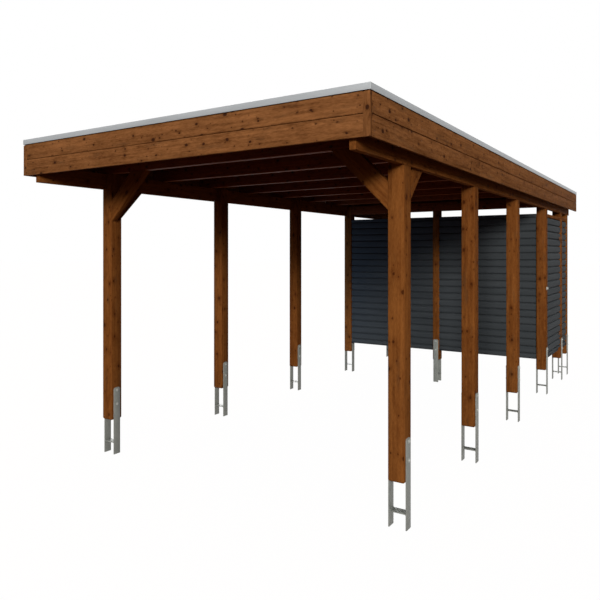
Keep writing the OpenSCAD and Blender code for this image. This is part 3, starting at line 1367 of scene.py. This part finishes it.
@dataclass
class Cladding:
    """Horizontal rounded boards on battens for the shed's walls, and on a ledged frame for its door."""

    shop: Workshop
    board_pitch: float = 0.0934
    board_gap: float = 0.007
    board_thickness: float = 0.026
    board_round: float = 0.020
    round_segments: int = 5
    tongue_inset: float = 0.0015
    batten_width: float = 0.045
    batten_ease: float = 0.002
    frame_width: float = 0.07
    screw: Screw = Screw(radius=0.0035)
    panels: tuple[Panel, ...] = (
        Panel("front_wall_left", Axis.X, -Axis.Y.vector),
        Panel("front_wall_right", Axis.X, -Axis.Y.vector),
        Panel("rear_wall_left", Axis.X, Axis.Y.vector),
        Panel("rear_wall_right", Axis.X, Axis.Y.vector),
        Panel("left_wall", Axis.Y, -Axis.X.vector),
        Panel("right_wall", Axis.Y, Axis.X.vector),
    )
    door: Panel = Panel("door_leaf", Axis.Y, Axis.X.vector, Body.DOOR, skirt=0.052)

    def build(self) -> None:
        """Build each panel's boards, what they are fixed to, and their screws."""
        for panel in (*self.panels, self.door):
            boards = self.boards(panel)
            self.shop.hand_over(boards, Look.SLATE_PAINT, [panel.node], panel.body)
            starts = self.upright_starts(panel)
            if panel is self.door:
                self.shop.hand_over(self.door_frame(panel), Look.SLATE_PAINT, body=panel.body)
            else:
                self.shop.hand_over(self.battens(panel, starts), Look.POST_TIMBER, body=panel.body)
            screws = self.screw.row(f"{panel.node}_screws", panel.outside, self.fixings(panel, starts))
            self.shop.hand_over(screws, Look.DARK_STEEL, body=panel.body)

    def courses(self, panel: Panel) -> list[tuple[float, float]]:
        """Lower and upper end of each course, laid down from the walls' top edge.

        Args:
            panel: The panel.

        Returns:
            The courses from the top one to the lowest, which is cut.
        """
        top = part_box(self.panels[0].node)[1].z
        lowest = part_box(panel.node)[0].z + panel.skirt
        count = math.ceil((top - lowest) / self.board_pitch)
        edges = [top - index * self.board_pitch for index in range(count + 1)]
        return list(zip(edges[1:], edges))

    def boards(self, panel: Panel) -> Piece:
        """Shape one board and repeat it down the panel.

        Args:
            panel: The panel.

        Returns:
            The boards as one piece.
        """
        low, high = panel.layer(self.board_thickness, outer=True)
        low.z += panel.skirt
        height = self.board_pitch - self.board_gap
        model = Bench.block("board", (Vector((low.x, low.y, 0)), Vector((high.x, high.y, height))))
        middle = (low + high) / 2

        def outer_side(a: Vector, b: Vector) -> bool:
            """Tell whether an edge runs along the board's outer face."""
            out = min((end - middle).dot(panel.outside) for end in (a, b)) > 0
            return out and abs(a.z - b.z) < height / 2

        Bench.chamfer(model, outer_side, self.board_round, self.round_segments)
        Bench.step(model, UP, self.tongue_inset, self.board_gap)
        bpy.ops.object.shade_smooth_by_angle(angle=SHARP_ANGLE)
        boards = []
        for bottom, top in self.courses(panel):
            start = bottom + self.board_gap / 2
            board = Bench.copied(model, "board", Matrix.Translation((0, 0, start)))
            if top + self.board_gap / 2 > high.z:
                Bench.saw(board, high, UP)
            if start < low.z:
                Bench.saw(board, low, -UP)
            boards.append(self.shop.grain.lay(board, panel.along.vector))
        Bench.discard(model)
        return Bench.joined(f"{panel.node}_boards", boards)

    def upright_starts(self, panel: Panel) -> list[float]:
        """Place the uprights behind the boards, at the ends and in the middle of a panel.

        Args:
            panel: The panel.

        Returns:
            Where each upright starts along the panel.
        """
        low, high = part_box(panel.node)
        first = low[panel.along.value]
        last = high[panel.along.value] - self.batten_width
        return [first, (first + last) / 2, last]

    def battens(self, panel: Panel, starts: Sequence[float]) -> Piece:
        """Stand battens behind the boards.

        Args:
            panel: The panel.
            starts: Where each batten starts along the panel.

        Returns:
            The battens as one piece.
        """
        inner = panel.layer(self.board_thickness, outer=False)
        sticks = []
        for start in starts:
            corner, end = inner[0].copy(), inner[1].copy()
            corner[panel.along.value] = start
            end[panel.along.value] = start + self.batten_width
            sticks.append(self.shop.stick("batten", (corner, end), self.batten_ease))
        return Bench.joined(f"{panel.node}_battens", sticks)

    def door_frame(self, panel: Panel) -> Piece:
        """Build the door's stiles, ledges and diagonal braces behind its boards.

        Args:
            panel: The door's panel.

        Returns:
            The frame as one piece.
        """
        low, high = panel.layer(self.board_thickness, outer=False)
        width = self.frame_width
        half = (low.z + high.z) / 2
        levels = (low.z, half - width / 2, high.z - width)
        sticks = []
        for start in (low.y, high.y - width):
            box = (Vector((low.x, start, low.z)), Vector((high.x, start + width, high.z)))
            sticks.append(self.shop.stick("stile", box, self.batten_ease))
        for level in levels:
            box = (Vector((low.x, low.y + width, level)), Vector((high.x, high.y - width, level + width)))
            sticks.append(self.shop.stick("ledge", box, self.batten_ease))
        for level, above in zip(levels, levels[1:]):
            box = (Vector((low.x, low.y + width, level + width)), Vector((high.x, high.y - width, above)))
            sticks.append(self.diagonal(box))
        return Bench.joined("door_leaf_frame", sticks)

    def diagonal(self, box: Box) -> Piece:
        """Saw a brace that rises from the hinge side out of the block that holds it.

        Args:
            box: Lowest and highest corner of the field that the brace crosses.

        Returns:
            The brace.
        """
        low, high = box
        along = Vector((0, low.y - high.y, high.z - low.z)).normalized()
        outwards = along.cross(Axis.X.vector)
        middle = (low + high) / 2
        piece = Bench.block("door_brace", box)
        for side in (outwards, -outwards):
            Bench.saw(piece, middle + side * (self.frame_width / 2), side)
        Bench.ease(piece, self.batten_ease)
        return self.shop.grain.lay(piece, along)

    def fixings(self, panel: Panel, starts: Sequence[float]) -> list[Vector]:
        """Places of the screws, in the middle of each full course on each upright.

        Args:
            panel: The panel.
            starts: Where each upright starts along the panel.

        Returns:
            Points on the boards' faces.
        """
        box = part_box(panel.node)
        lowest = box[0].z + panel.skirt
        heights = [(bottom + top) / 2 for bottom, top in self.courses(panel) if bottom >= lowest]
        steps = [start + self.batten_width / 2 for start in starts]
        return [face_point(box, panel.outside, step, height) for height in heights for step in steps]


@dataclass
class Anchors:
    """Galvanised H anchors with welded crossbars, and the bolts that hold the posts."""

    shop: Workshop
    leg_thickness: float = 0.008
    bar_low: float = 0.103
    bar_thickness: float = 0.006
    corner_round: float = 0.02
    corner_segments: int = 6
    ease: float = 0.0009
    weld_radius: float = 0.0035
    weld_sides: int = 10
    bolts_per_leg: int = 2
    bolt_drop: float = 0.024
    bolt_pitch: float = 0.125
    washer_radius: float = 0.013
    washer_height: float = 0.0025
    washer_sides: int = 24
    head_sides: int = 6
    head_radius: float = 0.0098
    head_height: float = 0.0065
    head_chamfer: float = 0.0012
    rows: tuple[str, ...] = ("anchors_left_row", "anchors_right_row", "anchors_shed_middle")
    walls: tuple[str, ...] = ("front_wall_left", "front_wall_right", "rear_wall_left", "rear_wall_right")

    def build(self) -> None:
        """Build the anchors and the bolts of each row."""
        for node in self.rows:
            boxes = solid_boxes(node)
            parts = [part for box in boxes for part in self.anchor(box)]
            self.shop.hand_over(Bench.joined(f"{node}_steel", parts), Look.ZINC, [node])
            bolts = [part for box in boxes for part in self.bolts(box)]
            # The bolts' pale zinc is partly a painted highlight.
            self.shop.hand_over(Bench.joined(f"{node}_bolts", bolts), Look.BRIGHT_ZINC)

    @staticmethod
    def span(box: Box) -> Axis:
        """Axis from one leg of an anchor to the other."""
        size = box[1] - box[0]
        return Axis.X if size.x > size.y else Axis.Y

    def anchor(self, box: Box) -> list[Piece]:
        """Make an anchor's legs, crossbar and welds.

        Args:
            box: Lowest and highest corner of the anchor.

        Returns:
            The parts.
        """
        low, high = box
        axis = self.span(box).value
        inner_low, inner_high = low[axis] + self.leg_thickness, high[axis] - self.leg_thickness
        parts = [self.leg(low, high, axis, low[axis]), self.leg(low, high, axis, inner_high)]
        bar_low, bar_high = low.copy(), high.copy()
        bar_low[axis], bar_high[axis] = inner_low, inner_high
        bar_low.z = self.bar_low
        bar_high.z = self.bar_low + self.bar_thickness
        parts.append(Bench.ease(Bench.block("crossbar", (bar_low, bar_high)), self.ease))
        for across in (inner_low, inner_high):
            for height in (bar_low.z, bar_high.z):
                start, end = bar_low.copy(), bar_high.copy()
                start[axis] = end[axis] = across
                start.z = end.z = height
                weld = Bench.rod("weld", start, end, self.weld_radius, self.weld_sides)
                parts.append(Bench.ease(weld, self.ease))
        return parts

    def leg(self, low: Vector, high: Vector, axis: int, start: float) -> Piece:
        """Cut a flat leg with rounded upper corners.

        Args:
            low: Lowest corner of the anchor.
            high: Highest corner of the anchor.
            axis: Index of the axis through the leg.
            start: Where the leg starts on that axis.

        Returns:
            The leg.
        """
        corner, end = low.copy(), high.copy()
        corner[axis] = start
        end[axis] = start + self.leg_thickness
        piece = Bench.block("leg", (corner, end))
        other = 1 - axis
        half = (high.z + low.z) / 2

        def upper_corner(a: Vector, b: Vector) -> bool:
            """Tell whether an edge runs through the leg at one of its upper corners."""
            return min(a.z, b.z) > half and abs(a[other] - b[other]) < self.leg_thickness / 2

        Bench.chamfer(piece, upper_corner, self.corner_round, self.corner_segments)
        return Bench.ease(piece, self.ease)

    def bolts(self, box: Box) -> list[Piece]:
        """Set two bolts with washers on the outside of each leg that is free.

        Args:
            box: Lowest and highest corner of the anchor.

        Returns:
            The bolts' parts.
        """
        low, high = box
        axis = self.span(box)
        parts = []
        for side, face in ((-1.0, low[axis.value]), (1.0, high[axis.value])):
            for step in range(self.bolts_per_leg):
                place = (low + high) / 2
                place[axis.value] = face
                place.z = high.z - self.bolt_drop - step * self.bolt_pitch
                outwards = axis.vector * side
                if not self.covered(place + outwards * self.head_height):
                    parts.extend(self.bolt(place, outwards))
        return parts

    def covered(self, place: Vector) -> bool:
        """Tell whether a wall's end covers a place.

        Args:
            place: The place.

        Returns:
            Whether a bolt there would be in a wall.
        """
        boxes = [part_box(node) for node in self.walls]
        return any(
            low.x - self.washer_radius < place.x < high.x + self.washer_radius
            and low.y < place.y < high.y
            for low, high in boxes
        )

    def bolt(self, place: Vector, outwards: Vector) -> list[Piece]:
        """Make a washer and a chamfered hexagon head.

        Args:
            place: Middle of the bolt on the leg's face.
            outwards: Direction away from the leg.

        Returns:
            The washer and the head.
        """
        seat = place + outwards * self.washer_height
        crown = seat + outwards * self.head_height
        washer = Bench.rod("washer", place, seat, self.washer_radius, self.washer_sides)
        Bench.ease(washer, self.head_chamfer / 2)
        head = Bench.rod("bolt_head", seat, crown, self.head_radius, self.head_sides)
        Bench.ease(head, self.head_chamfer)
        return [washer, head]


@dataclass
class DoorHardware:
    """Hinges, turned knob and latch."""

    shop: Workshop
    hinge_ease: float = 0.0008
    stem_radius: float = 0.007
    rosette: tuple[float, float] = (0.012, 0.002)
    knob_head: float = 0.012
    knob_round: float = 0.005
    plate: float = 0.004
    boss_radius: float = 0.012
    boss: float = 0.008
    wing_width: float = 0.008
    edge_round: float = 0.0012
    knob_segments: int = 6
    latch_segments: int = 3
    sides: int = 40
    screw: Screw = Screw(radius=0.0032)
    hinges: tuple[tuple[str, Look, Body], ...] = (
        ("door_hinge_straps", Look.BROWN_STEEL, Body.DOOR),
        ("door_hinge_pins", Look.BROWN_STEEL, Body.FRAME),
    )

    def build(self) -> None:
        """Build the hinges, the knob and the latch."""
        for node, look, body in self.hinges:
            piece = Bench.ease(Bench.from_node(f"{node}_steel", node), self.hinge_ease)
            self.shop.hand_over(piece, look, [node], body)
        self.shop.hand_over(self.knob(), Look.SLATE_PAINT, ["door_knob"], Body.DOOR)
        self.shop.hand_over(self.latch(), Look.BRIGHT_ZINC, ["door_latch"])

    @staticmethod
    def seat(node: str) -> Vector:
        """Middle of the face with which a node sits on the shed's side."""
        low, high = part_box(node)
        return Vector((low.x, (low.y + high.y) / 2, (low.z + high.z) / 2))

    def knob(self) -> Piece:
        """Turn a knob with a rosette, a stem and a rounded head.

        Returns:
            The knob.
        """
        low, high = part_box("door_knob")
        out = Axis.X.vector
        seat = self.seat("door_knob")
        end = seat + out * (high.x - low.x)
        neck = end - out * self.knob_head
        radius, thickness = self.rosette
        base = Bench.rod("rosette", seat, seat + out * thickness, radius, self.sides)
        stem = Bench.rod("stem", seat, neck, self.stem_radius, self.sides)
        head = Bench.rod("head", neck, end, (high.z - low.z) / 2, self.sides)
        Bench.ease(base, self.edge_round)
        Bench.ease(stem, self.edge_round)
        Bench.ease(head, self.knob_round, self.knob_segments)
        return self.shop.grain.lay(Bench.joined("door_knob_turned", [head, stem, base]), out)

    def latch(self) -> Piece:
        """Make a round plate with two screws and a winged boss.

        Returns:
            The latch.
        """
        low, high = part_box("door_latch")
        out = Axis.X.vector
        seat = self.seat("door_latch")
        face = seat + out * self.plate
        crown = face + out * self.boss
        plate_radius = (high.z - low.z) / 2
        plate = Bench.rod("plate", seat, face, plate_radius, self.sides)
        boss = Bench.rod("boss", face, crown, self.boss_radius, self.sides)
        across = Vector((0, self.wing_width / 2, self.boss_radius))
        wing = Bench.block("wing", (crown - across, Vector((high.x, crown.y, crown.z)) + across))
        for part in (plate, boss, wing):
            Bench.ease(part, self.edge_round, self.latch_segments)
        reach = UP * (plate_radius + self.boss_radius) / 2
        screws = self.screw.row("latch_screws", out, [face + reach, face - reach])
        return Bench.joined("door_latch_steel", [plate, boss, wing, screws])


@dataclass(frozen=True)
class Lamp:
    """A soft distant light."""

    name: str
    azimuth: float
    elevation: float
    strength: float
    spread: float
    colour: Colour = WHITE

    def hang(self) -> None:
        """Add the lamp. Azimuth 0 shines along +Y, and 90 along -X."""
        light = bpy.data.lights.new(self.name, "SUN")
        light.energy = self.strength
        light.color = self.colour
        light.angle = math.radians(self.spread)
        lamp = bpy.data.objects.new(self.name, light)
        lamp.rotation_euler = (math.pi / 2 - math.radians(self.elevation), 0, math.radians(self.azimuth))
        bpy.context.scene.collection.objects.link(lamp)


@dataclass(frozen=True)
class Card:
    """A square of soft light beside the object."""

    name: str
    place: tuple[float, float, float]
    aim: tuple[float, float, float]
    size: float
    power: float
    colour: Colour

    def hang(self) -> None:
        """Add the card, hidden from the camera."""
        light = bpy.data.lights.new(self.name, "AREA")
        light.size = self.size
        light.energy = self.power
        light.color = self.colour
        card = bpy.data.objects.new(self.name, light)
        card.location = self.place
        towards = Vector(self.aim) - Vector(self.place)
        card.rotation_euler = towards.to_track_quat("-Z", "Y").to_euler()
        card.visible_camera = False
        bpy.context.scene.collection.objects.link(card)


@dataclass
class Studio:
    """White floor and background, soft lamps, and the camera at the photo's angle."""

    floor_size: float = 240.0
    floor_colour: Colour = (0.10, 0.055, 0.038)
    floor_share: float = 0.86
    floor_glow: float = 1.15
    sky: Colour = (0.108, 0.106, 0.108)
    lens: float = 36.653
    shift: tuple[float, float] = (0.00517, -0.07721)
    camera_place: tuple[float, float, float] = (3.0228, -6.5273, 1.8072)
    camera_turn: float = 32.814
    lamps: tuple[Lamp | Card, ...] = (
        Lamp("key", azimuth=30.0, elevation=14.0, strength=2.4, spread=14.0, colour=(1.0, 0.98, 0.92)),
        Lamp("soft_key", azimuth=32.0, elevation=15.0, strength=0.5, spread=30.0, colour=(1.0, 0.98, 0.93)),
        Lamp("fill", azimuth=215.0, elevation=25.0, strength=2.1, spread=40.0),
        Lamp("top", azimuth=20.0, elevation=78.0, strength=1.4, spread=60.0),
        Card(
            "cool_card",
            place=(-2.3, 0.7, 1.0),
            aim=(-0.9, 1.8, 1.0),
            size=1.0,
            power=10.0,
            colour=(0.30, 0.60, 1.0),
        ),
    )

    def build(self) -> None:
        """Build the stage, the lamps and the camera."""
        bpy.context.scene.view_settings.view_transform = "Standard"
        self.floor()
        self.world()
        for lamp in self.lamps:
            lamp.hang()
        self.camera()

    def floor(self) -> None:
        """Lay a floor that is white to the camera and keeps the object's shadow."""
        bpy.ops.object.select_all(action="DESELECT")
        bpy.ops.mesh.primitive_plane_add(size=self.floor_size)
        floor = Bench.named("studio_floor")
        make = Finish("studio_floor")
        make.dress(Base_Color=rgba(self.floor_colour), Roughness=1.0, Specular_IOR_Level=0.0)
        glow = make.node("ShaderNodeEmission", None, {"Color": rgba(WHITE), "Strength": self.floor_glow})
        share = self.seen(make) * self.floor_share
        surface = Wire(make.tree, make.shader.outputs[0])
        blend = make.node("ShaderNodeMixShader", None, {0: share, 1: surface, 2: glow})
        make.feed(make.tree.nodes["Material Output"].inputs["Surface"], blend)
        floor.data.materials.append(make.material)

    def world(self) -> None:
        """Light the object with an even grey sky that the camera sees as white."""
        world = bpy.data.worlds.new("studio_sky")
        world.use_nodes = True
        bpy.context.scene.world = world
        make = Recipe(world.node_tree)
        colour = make.mix(self.seen(make), self.sky, WHITE)
        make.feed(world.node_tree.nodes["Background"].inputs["Color"], colour)

    @staticmethod
    def seen(make: Recipe) -> Wire:
        """One for rays from the camera and for gloss and glass, otherwise zero."""
        camera = make.node("ShaderNodeLightPath", None, None, "Is Camera Ray")
        return camera.larger(camera.beside("Is Glossy Ray")).larger(camera.beside("Is Transmission Ray"))

    def camera(self) -> None:
        """Set up the camera."""
        data = bpy.data.cameras.new("camera")
        data.lens = self.lens
        data.shift_x, data.shift_y = self.shift
        camera = bpy.data.objects.new("camera", data)
        camera.location = self.camera_place
        camera.rotation_euler = (math.pi / 2, 0, math.radians(self.camera_turn))
        bpy.context.scene.collection.objects.link(camera)
        bpy.context.scene.camera = camera


def main() -> None:
    """Build the sub-assemblies and the studio, in order."""
    logging.basicConfig(level=logging.INFO, format="%(message)s")
    shop = Workshop(Finishes.mixed(), Grain(seed=121))
    TimberFrame(shop).build()
    RoofEdge(shop).build()
    RoofDeck(shop).build()
    Cladding(shop).build()
    Anchors(shop).build()
    DoorHardware(shop).build()
    Studio().build()


if __name__ == "__main__":
    main()
